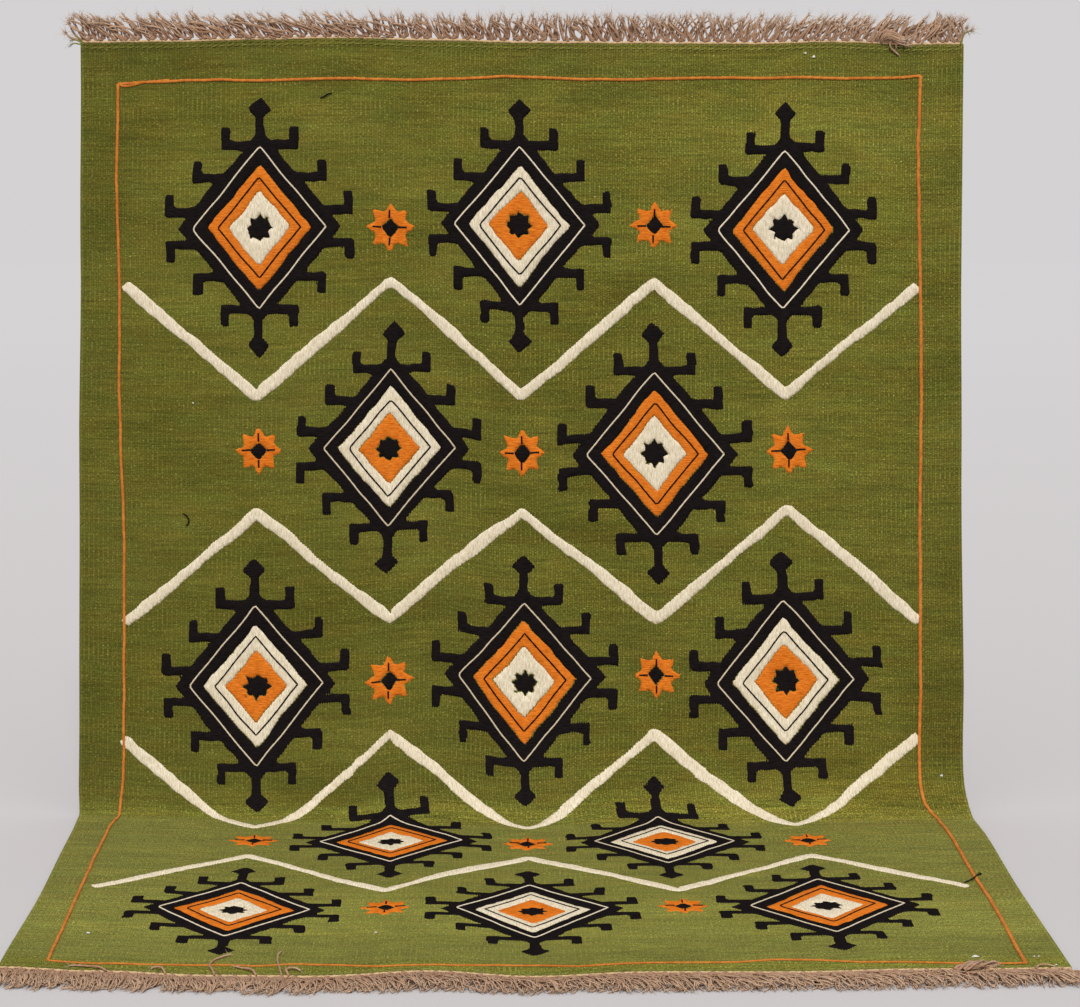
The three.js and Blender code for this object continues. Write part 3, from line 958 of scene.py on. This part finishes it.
FRINGE_KNOTS = 70
TOP_CORDS = 11
FRONT_CORDS = 21
KNOT_RADIUS = 0.00155
KNOT_REACH = 0.0027
KNOT_HEIGHT = 0.0034
KNOT_TURNS = 1.9
TOP_HEIGHT = 0.0370
FRONT_LENGTH = 0.075
FRONT_HEAP = 0.0042
CORD_RADIUS = 0.0016
CORD_RINGS = 12
HAIR_RADII = np.array([0.00024, 0.00020, 0.00010])
PATH_POINTS = 24
EDGE_GAP = 0.0015
CORD_LIFT = 0.0004
STITCH_PITCH = 0.0112
X_AXIS = np.array([1.0, 0.0, 0.0])
FRONT = np.array([0.0, -1.0, 0.0])
Z_AXIS = np.array([0.0, 0.0, 1.0])
TWINED_ROWS = (
    {"inset": 0.0030, "slant": 0.0007, "radius": 0.0011, "lift": -0.0004, "tint": 0.42},
    {"inset": 0.0082, "slant": 0.0011, "radius": 0.0012, "lift": -0.0002, "tint": 0.64},
)

# Rows of the fringes across the width, in millimetres after the place: how far the strands of
# the top fringe lean, and how far those of the front fringe are swept sideways

LEAN_ROWS = np.array([
    (-1.0, -13),
    (-0.9, -34),
    (-0.4, -34),
    (-0.2, -11),
    (0.3, -3),
    (0.45, 11),
    (0.6, 30),
    (0.88, 33),
    (0.97, 8),
    (1.0, -6),
])
SWEEP_ROWS = np.array([
    (-1.0, -22),
    (-0.9, -40),
    (-0.5, -36),
    (-0.3, -12),
    (0.1, 0),
    (0.5, 8),
    (0.9, 5),
    (1.0, 18),
])


def make_end_cords(material):
    """A thick two-ply cord along each end of the cloth."""
    parts = Parts()
    reach = HALF_WIDTH - 0.001
    across = np.linspace(-reach, reach, END_CORD_RINGS)
    turns = CLOTH_WIDTH / END_CORD_TWIST
    for down, seed in ((-EDGE_GAP, 51), (CLOTH_LENGTH + EDGE_GAP, 52)):
        sway = SoftNoise(seed, 0.014)(across, across * 0) * 0.0006
        points = on_cloth(across, down + sway, CORD_LIFT)
        parts.add_tubes(points[None], END_CORD_RADIUS, 7, 0.9, lobe=YARN_LOBE, turns=turns)
    return parts.piece("end_cords", material)


def make_twining(material):
    """Slanted stitches of twined weft beside each end of the cloth, on both of its faces."""
    rng = np.random.default_rng(53)
    parts = Parts()
    count = int(CLOTH_WIDTH / STITCH_PITCH) - 1
    middles = (np.arange(count) - (count - 1) / 2) * STITCH_PITCH
    t = np.linspace(-1, 1, 5)
    for row in TWINED_ROWS:
        for down in (row["inset"], CLOTH_LENGTH - row["inset"]):
            for face in (-1, 1):
                centre = middles + rng.normal(0, 0.0006, count)
                reach = STITCH_PITCH * rng.uniform(0.42, 0.54, count)
                slant = row["slant"] * rng.uniform(0.6, 1.3, count)
                across = np.clip(centre[:, None] + reach[:, None] * t, -HALF_WIDTH, HALF_WIDTH)
                place = down - slant[:, None] * np.sin(t * 1.3) + rng.normal(0, 0.0002, count)[:, None]
                lift = HALF_THICKNESS + row["lift"] + 0.0008 * (np.cos(t * 1.5) - 0.5)
                radii = row["radius"] * rng.uniform(0.85, 1.15, count)[:, None] * (1 - 0.45 * t ** 2)
                tint = row["tint"] + 0.16 * centre / HALF_WIDTH + rng.normal(0, 0.10, count)
                parts.add_tubes(on_cloth(across, place, face * lift), radii, 5, tint)
    return parts.piece("twined_rows", material)


def knot_places(rng, jitter):
    places = (np.arange(FRINGE_KNOTS) + 0.5) / FRINGE_KNOTS * 2 - 1
    return places * (HALF_WIDTH - 0.003) + rng.normal(0, jitter, FRINGE_KNOTS)


def add_knots(parts, centres, out, rng, depth):
    """Two turns of cord round the root of each tassel, along the cloth's edge."""
    steps = np.linspace(0, 2 * np.pi * KNOT_TURNS, 15)
    tilt = rng.uniform(-0.6, 0.6, len(centres))[:, None]
    size = rng.uniform(0.85, 1.15, len(centres))[:, None, None]
    side = X_AXIS * np.cos(steps)[:, None] * KNOT_REACH * size
    over = out * np.sin(steps)[:, None] * depth * size
    rise = tilt * np.cos(steps) * 0.0014 + (steps / steps[-1] - 0.5) * KNOT_HEIGHT
    lift = np.cross(X_AXIS, out) * rise[..., None]
    tint = rng.uniform(0.15, 0.65, len(centres))
    parts.add_tubes(centres[:, None] + side + over + lift, KNOT_RADIUS, 6, tint)


def tassel(path, cords, close, loose, turns, rng, flat, sway, opening=1.5, curl=2.6, root=(0.25, 2.0)):
    """Routes of cords that twist about one path and part towards its end. "flat" squeezes the
    bundle in the direction away from the viewer or the floor, and "root" squeezes its root more."""
    t = np.linspace(0, 1, CORD_RINGS)
    at = np.linspace(0, 1, len(path))
    ahead = unit(np.gradient(path, axis=0))
    up = np.array([0.0, -1.0, 0.3]) if abs(ahead[0, 2]) > 0.6 else Z_AXIS
    side = unit(np.cross(ahead, up))
    other = unit(np.cross(side, ahead)) * flat
    routes = []
    for j in range(cords):
        share = t * rng.uniform(0.74, 1.0)
        pick = lambda rows: np.stack([np.interp(share, at, rows[:, i]) for i in range(3)], -1)
        angle = 2 * np.pi * (j / cords + turns * t) + rng.normal(0, 0.35)
        width = close + (loose * rng.uniform(0.5, 1.2) - close) * t ** opening
        drift = rng.normal(0, sway, 2)[:, None] * np.sin(np.pi * t * rng.uniform(1.0, curl, 2)[:, None])
        right = width * np.cos(angle) + drift[0]
        over = (width * np.sin(angle) + drift[1]) * np.clip(root[0] + root[1] * t, 0, 1)
        routes.append(pick(path) + pick(side) * right[:, None] + pick(other) * over[:, None])
    return routes


def add_cords(parts, routes, rng, radius=CORD_RADIUS, tint=(0.3, 1.0), sides=5):
    """Two-ply cords, a little unlike in thickness and in colour, a little thinner at their ends."""
    routes = np.array(routes)
    count = len(routes)
    t = np.linspace(0, 1, routes.shape[1])
    radii = radius * rng.uniform(0.82, 1.12, count)[:, None] * (1 - 0.25 * t ** 3)
    parts.add_tubes(routes, radii, sides, rng.uniform(*tint, count), lobe=0.2,
                    turns=rng.uniform(2.2, 3.4, count), phase=rng.uniform(0, 6, count))


def add_hairs(parts, routes, length, rng, each, wild=0.5, inner=0.3):
    """Loose fibres at the ends of the cords and here and there along them."""
    routes = np.array(routes)
    count = len(routes) * each
    rings = routes.shape[1]
    last = rings - 1 - rng.integers(0, rings - 3, count) * (rng.uniform(0, 1, count) < inner)
    cord = np.repeat(np.arange(len(routes)), each)
    heading = unit(routes[cord, last] - routes[cord, last - 3])
    heading = unit(heading + rng.normal(0, wild, (count, 3)))
    start = (routes[cord, last] + rng.normal(0, 0.0007, (count, 3)))[:, None]
    bend = rng.normal(0, 0.4, (count, 3))[:, None]
    steps = np.linspace(0, 1, 3)[None, :, None]
    size = (length * rng.uniform(0.4, 1.2, count))[:, None, None]
    path = start + size * (heading[:, None] * steps + bend * steps ** 2)
    path[..., 2] = np.maximum(path[..., 2], FLOOR_CLEARANCE)
    parts.add_tubes(path, HAIR_RADII, 3, rng.uniform(0.5, 1.0, count))


def curve(points, count):
    """Smooth curve through a short list of points."""
    points = np.asarray(points, float)
    padded = np.concatenate([[2 * points[0] - points[1]], points, [2 * points[-1] - points[-2]]])
    at = np.linspace(0, len(points) - 1 - 1e-9, count)
    k = at.astype(int)
    t = (at - k)[:, None]
    a, b, c, d = (padded[k + i] for i in range(4))
    bent = (2 * a - 5 * b + 4 * c - d) * t ** 2 + (3 * b - a - 3 * c + d) * t ** 3
    return 0.5 * (2 * b + (c - a) * t + bent)


def cloth_curve(rows, count=CORD_RINGS):
    """Smooth curve near the cloth, through rows of across, down and lift in millimetres."""
    return on_cloth(*(curve(rows, count) * MM).T)


def make_top_fringe(materials):
    rng = np.random.default_rng(61)
    cords, fuzz = Parts(), Parts()
    knots = knot_places(rng, 0.0012)
    places = knots / HALF_WIDTH
    roots = on_cloth(knots, -2 * EDGE_GAP, CORD_LIFT)
    add_knots(cords, roots + (0, 0, 0.0022), FRONT, rng, 0.0024)
    t = np.linspace(0, 1, PATH_POINTS)
    routes = []
    for root, place in zip(roots, places):
        lean = smooth_row(place, LEAN_ROWS, 1) * MM
        lean = lean * rng.uniform(0.8, 1.2) + rng.normal(0, 0.003)
        rise = smooth_row(place, DRAPE_ROWS, TOP_RISE) * MM
        height = TOP_HEIGHT * rng.uniform(0.93, 1.05) - rise * 0.8 - abs(lean) * 0.12
        nod = 0.004 + rng.normal(0, 0.002)
        path = root + np.stack([lean * t ** 1.25, -nod * t ** 1.5, 0.001 + height * t ** 0.94], -1)
        turns = rng.uniform(0.15, 0.45)
        loose = 0.0135 - 0.09 * abs(lean)
        routes += tassel(path, TOP_CORDS, 0.0062, loose, turns, rng, 0.4, 0.0015, opening=0.65)
    # Painted shade: the cords are darker towards the left and lighter at the right.
    pale = 0.3 + 0.55 * np.clip((places - 0.3) / 0.3, 0, 1)
    add_cords(cords, routes, rng, tint=(np.repeat(pale, TOP_CORDS), 1.0))
    add_hairs(fuzz, routes, 0.0090, rng, each=9)
    return cords.piece("top_fringe", materials["fringe"]), fuzz.piece("top_fuzz", materials["fuzz"])


def make_front_fringe(materials):
    """The front fringe lies in a low heap. At its left the tassels are combed straighter."""
    rng = np.random.default_rng(62)
    cords, fuzz = Parts(), Parts()
    knots = knot_places(rng, 0.0015)
    places = knots / HALF_WIDTH
    roots = on_cloth(knots, CLOTH_LENGTH + 2 * EDGE_GAP, CORD_LIFT)
    add_knots(cords, roots - (0, 0.0015, 0), Z_AXIS, rng, 0.0010)
    t = np.linspace(0, 1, PATH_POINTS)
    routes = []
    for root, place in zip(roots, places):
        sweep = smooth_row(place, SWEEP_ROWS, 1) * MM
        sweep = sweep * rng.uniform(0.88, 1.12) + rng.normal(0, 0.004)
        combed = np.clip((-0.25 - place) / 0.2, 0, 1)
        length = (FRONT_LENGTH + 0.002 * combed) * rng.uniform(0.90, 1.05)
        length = length - smooth_row(place, DRAPE_ROWS, REACH) * MM * 0.45
        heap = FRONT_HEAP * rng.uniform(0.5, 1.3)
        rise = heap * np.sin(np.pi * t ** 1.7) ** 1.3
        path = root + np.stack([sweep * t, -length * t, rise], -1)
        close = 0.0100 - 0.0025 * combed
        loose = 0.0130 - 0.0030 * combed
        sway = 0.0042 - 0.0022 * combed
        turns = rng.uniform(0.8, 1.6) * (0.4 + 0.6 * combed)
        curl = 4.2 - 1.6 * combed
        routes += tassel(path, FRONT_CORDS, close, loose, turns, rng, 0.4, sway, 0.9, curl, (0.1, 1.6))
    routes = np.array(routes)
    routes[..., 2] = np.maximum(routes[..., 2], CORD_RADIUS)
    pale = 0.45 + 0.4 * np.clip((places - 0.2) / 0.3, 0, 1)
    add_cords(cords, routes, rng, CORD_RADIUS * 0.68, (np.repeat(pale, FRONT_CORDS), 1.0), 4)
    add_hairs(fuzz, routes, 0.0065, rng, each=6, wild=0.8, inner=0.7)
    return cords.piece("front_fringe", materials["fringe"]), fuzz.piece("front_fuzz", materials["fuzz"])


# What has come loose: strands of the fringes that lie over the cloth, frayed corners, ends of
# thread, and lint. Each is a row of points of across, down and lift in millimetres, but a speck
# of lint is its place and its size.

FLOPPED_TASSEL = ((564, -2, 1), (566, -9, 6), (574, -16, 9), (585, -14, 9), (596, -8, 7), (606, -4, 5),
                  (615, -3, 4))
FLOPPED_ENDS = (
    ((582, -6, 6), (582, 3, 6), (586, 8, 4.5), (591, 12, 3.5), (596, 16, 3.2)),
    ((591, -4, 6), (591, 0, 6.5), (592, 3, 5), (592, 6, 4)),
)
HEAPED_TASSELS = (
    ((547, 2009, 3), (554, 2004, 6), (565, 1999, 7), (578, 1991, 5), (588, 1984, 4)),
    ((557, 2012, 4), (569, 2008, 7), (583, 2003, 8), (596, 1996, 6), (604, 1998, 5)),
)
STRANDS = (
    ((-556, 2004, 3), (-566, 1998, 6), (-582, 1990, 4.5), (-598, 1985, 3.4), (-605, 1987, 3.4)),
    ((-414, 2004, 3), (-418, 1988, 5), (-424, 1964, 3.6), (-420, 1942, 3.4), (-409, 1926, 3.4),
     (-402, 1921, 3.6)),
    ((-327, 2004, 3), (-331, 1980, 4.6), (-336, 1948, 3.4), (-338, 1918, 3.4), (-335, 1903, 3.6)),
    ((-478, 2004, 3), (-484, 1990, 6), (-494, 1984, 4.5), (-499, 1991, 3.6)),
    ((-360, 2004, 3), (-367, 1988, 5.5), (-380, 1978, 4), (-390, 1969, 3.4)),
    ((-318, 2004, 3), (-322, 1986, 6), (-312, 1976, 4.5), (-304, 1984, 3.6)),
    ((652, 2005, 3), (658, 1999, 5.5), (668, 1997, 5), (678, 2002, 4)),
)
CORNER_TUFTS = (
    ((-697, -3, 1), (-704, -9, 2), (-712, -17, 1), (-717, -28, 0)),
    ((-697, -2, 1), (-706, -5, 2), (-716, -8, 1), (-722, -14, 0)),
    ((-696, -4, 1), (-701, -14, 2), (-706, -24, 2), (-714, -34, 0)),
    ((693, -3, 1), (696, -10, 2), (699, -18, 1), (704, -24, 0)),
    ((694, -3, 1), (697, -10, 2), (702, -17, 1), (712, -21, 0)),
)
GREEN_TUFTS = (
    ((-694, 2, 2), (-700, -1, 2.6), (-707, -4, 2), (-713, -4, 1)),
    ((-695, 1, 2), (-701, -5, 3), (-708, -11, 2), (-711, -16, 1)),
    ((-696, 3, 1), (-703, 2, 1.5), (-710, 1, 1), (-715, 3, 0)),
    ((695, 1, 2), (697, -8, 2.4), (699, -16, 2), (706, -19, 1)),
    ((696, 0, 1), (698, -9, 1.6), (700, -17, 1), (710, -20, 0)),
)
LOOSE_THREADS = (
    ((-322, 91, 2.2), (-316, 89, 3.4), (-309, 85, 3.0), (-303, 84, 2.2)),
    ((-537, 733, 2.2), (-531, 736, 4.0), (-527, 742, 4.4), (-528, 749, 3.6), (-532, 752, 2.4)),
    ((622, 1606, 2.4), (634, 1596, 4.0), (645, 1580, 4.0), (650, 1566, 3.4), (658, 1558, 3.0),
     (655, 1549, 3.0)),
)
LINT_SPECKS = (
    ((-604, 1839), 5), ((-214, 1822), 3), ((448, 16), 3), ((461, 22), 4), ((665, 1154), 4),
    ((583, 1950), 8), ((660, 1953), 1.8), ((666, 1953), 1.6), ((682, 1990), 2.2), ((-520, 560), 2.2),
)


def make_loose_strands(materials):
    rng = np.random.default_rng(71)
    cords, fuzz, green = Parts(), Parts(), Parts()
    flopped = tassel(cloth_curve(FLOPPED_TASSEL, PATH_POINTS), 15, 0.0050, 0.0078, 0.4, rng, 0.4, 0.0016)
    heaped = []
    for rows in HEAPED_TASSELS:
        heaped += tassel(cloth_curve(rows, PATH_POINTS), 10, 0.0040, 0.0080, 0.5, rng, 0.5, 0.0022)
    singles = [cloth_curve(rows) for rows in FLOPPED_ENDS + STRANDS]
    tufts = [cloth_curve(rows) for rows in CORNER_TUFTS]
    for routes, thickness in ((flopped, 0.8), (heaped, 0.8), (singles, 0.95), (tufts, 0.95)):
        add_cords(cords, routes, rng, CORD_RADIUS * thickness, (0.5, 1.0))
        add_hairs(fuzz, routes, 0.0065, rng, each=9, inner=0.5)
    add_hairs(fuzz, tufts, 0.010, rng, each=50, wild=0.6)
    ends = [cloth_curve(rows) for rows in GREEN_TUFTS]
    add_cords(green, ends, rng, 0.0013, (0.5, 1.0))
    add_hairs(green, ends, 0.006, rng, each=24, wild=0.7)
    return (
        cords.piece("loose_strands", materials["fringe"]),
        fuzz.piece("loose_fuzz", materials["fuzz"]),
        green.piece("frayed_selvedge", materials["green"]),
    )


def make_loose_threads(material):
    parts = Parts()
    for rows in LOOSE_THREADS:
        points = cloth_curve(rows, 20)
        taper = 1 - 0.6 * np.linspace(-1, 1, 20) ** 4
        parts.add_tubes(points[None], 0.0011 * taper, 6, 0.4, lobe=0.2, turns=3)
    return parts.piece("loose_threads", material)


def make_lint(material):
    """Specks of lint: a few short fibres balled together on the cloth."""
    rng = np.random.default_rng(81)
    parts = Parts()
    for (across, down), size in LINT_SPECKS:
        for _ in range(9):
            turn = rng.normal(0, 0.6)
            start = np.array([across, down]) + rng.normal(0, 0.10 * size, 2)
            ahead = np.array([math.cos(turn), math.sin(turn)]) * size * rng.uniform(0.3, 0.6)
            bend = rng.normal(0, 0.2 * size, 2)
            rows = [(*(start - ahead), 2.0), (*(start + bend), 2.9), (*(start + ahead), 2.2)]
            parts.add_tubes(cloth_curve(rows, 6)[None], 0.00045, 4, rng.uniform(0.5, 1.0))
    return parts.piece("lint", material)


# Stage, light and camera

def make_stage():
    """Wide pale floor. The even light round it has the same brightness as its far rim."""
    turns = np.arange(FLOOR_SPOKES) * 2 * np.pi / FLOOR_SPOKES
    points = [(0.0, 0.0, 0.0)]
    points += [(r * math.cos(turn), r * math.sin(turn), 0.0) for r in FLOOR_RINGS for turn in turns]
    rings = 1 + np.arange(len(points) - 1).reshape(-1, FLOOR_SPOKES)
    ahead = np.roll(rings, -1, 1)
    faces = np.stack([rings[:-1], rings[1:], ahead[1:], ahead[:-1]], -1).reshape(-1, 4).tolist()
    faces += np.stack([rings[0] * 0, rings[0], ahead[0]], -1).tolist()
    stage = make_piece("stage", points, faces, stage_paint())
    stage.location.z = -FLOOR_DROP


def make_lights():
    """Even light from all round, and a broad soft light from high in front."""
    scene = bpy.context.scene
    scene.view_settings.view_transform = "Standard"
    world = bpy.data.worlds.new("studio")
    world.use_nodes = True
    background = world.node_tree.nodes["Background"]
    background.inputs["Color"].default_value = linear(SURROUND)
    background.inputs["Strength"].default_value = 1.0
    scene.world = world
    data = bpy.data.lights.new("soft_light", "SUN")
    data.energy = SOFT_LIGHT_STRENGTH
    data.angle = math.radians(SOFT_LIGHT_SPREAD)
    light = bpy.data.objects.new("soft_light", data)
    light.rotation_euler = (math.radians(90 - SOFT_LIGHT_ELEVATION), 0, 0)
    scene.collection.objects.link(light)


def make_camera():
    """The photograph's view: nearly level, from 4.6 m in front of the hanging cloth."""
    data = bpy.data.cameras.new("camera")
    data.sensor_width = SENSOR_WIDTH
    data.lens = LENS
    camera = bpy.data.objects.new("camera", data)
    camera.location = (CAMERA_SIDE, ORIGIN[1] - CAMERA_DISTANCE, CAMERA_HEIGHT)
    camera.rotation_euler = (math.radians(90 - CAMERA_TILT), 0, math.radians(CAMERA_TURN))
    bpy.context.scene.collection.objects.link(camera)
    bpy.context.scene.camera = camera


# The kilim, put together

make_camera()
make_stage()
make_lights()

wool = {
    "green": green_wool(),
    "black": sewn_wool("black_stitches", BLACK, (15, 12, 13), (80, 640)),
    "cream": sewn_wool("cream_stitches", CREAM, (186, 170, 138), (560, 95)),
    "orange": sewn_wool("orange_stitches", ORANGE, (172, 80, 19), (90, 600)),
}
yarn = {
    "black": yarn_wool("black_yarn", BLACK, (15, 12, 13)),
    "cream": yarn_wool("cream_yarn", CREAM, (196, 180, 150)),
    "orange": yarn_wool("orange_yarn", ORANGE_LINE, (168, 92, 36), stitches=0.6),
    "green": yarn_wool("green_yarn", (160, 158, 84), GREEN_DARK, sheen=0.75, sheen_tint=GREEN_SHEEN),
    "end": yarn_wool("end_cord_yarn", END_CORD, (180, 146, 104)),
    "fringe": yarn_wool("fringe_yarn", FRINGE, FRINGE_DARK, tip=(200, 171, 143)),
    "fuzz": yarn_wool("fuzz_fibres", (224, 201, 176), (168, 136, 110)),
    "lint": yarn_wool("lint_fibres", LINT, (206, 202, 196)),
}

cloth = make_cloth(wool["green"])
field = Field(("black", "cream", "orange"))
paint_motifs(field)
sewn = {name: sewn_piece(name + "_motifs", field, name, wool[name]) for name in field.layers}
cream_lines, black_lines = make_stitched_lines(yarn)
border_line = make_border_line(yarn["orange"])
end_cords = make_end_cords(yarn["end"])
twining = make_twining(yarn["green"])
top_fringe, top_fuzz = make_top_fringe(yarn)
front_fringe, front_fuzz = make_front_fringe(yarn)
loose_strands, loose_fuzz, frayed_selvedge = make_loose_strands(yarn)
loose_threads = make_loose_threads(yarn["black"])
lint = make_lint(yarn["lint"])

slots = {
    cloth: "green_wool",
    sewn["black"]: "black_wool",
    sewn["cream"]: "cream_wool",
    sewn["orange"]: "orange_wool",
    cream_lines: "cream_wool",
    black_lines: "black_wool",
    border_line: "orange_wool",
    end_cords: "cream_wool",
    twining: "green_wool",
    top_fringe: "warp_yarn",
    top_fuzz: "warp_yarn",
    front_fringe: "warp_yarn",
    front_fuzz: "warp_yarn",
    loose_strands: "warp_yarn",
    loose_fuzz: "warp_yarn",
    frayed_selvedge: "green_wool",
    loose_threads: "black_wool",
    lint: "cream_wool",
}
for piece, slot in slots.items():
    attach(piece, "root")
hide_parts("kilim_cloth")
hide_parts("fringe_top")
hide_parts("fringe_bottom")
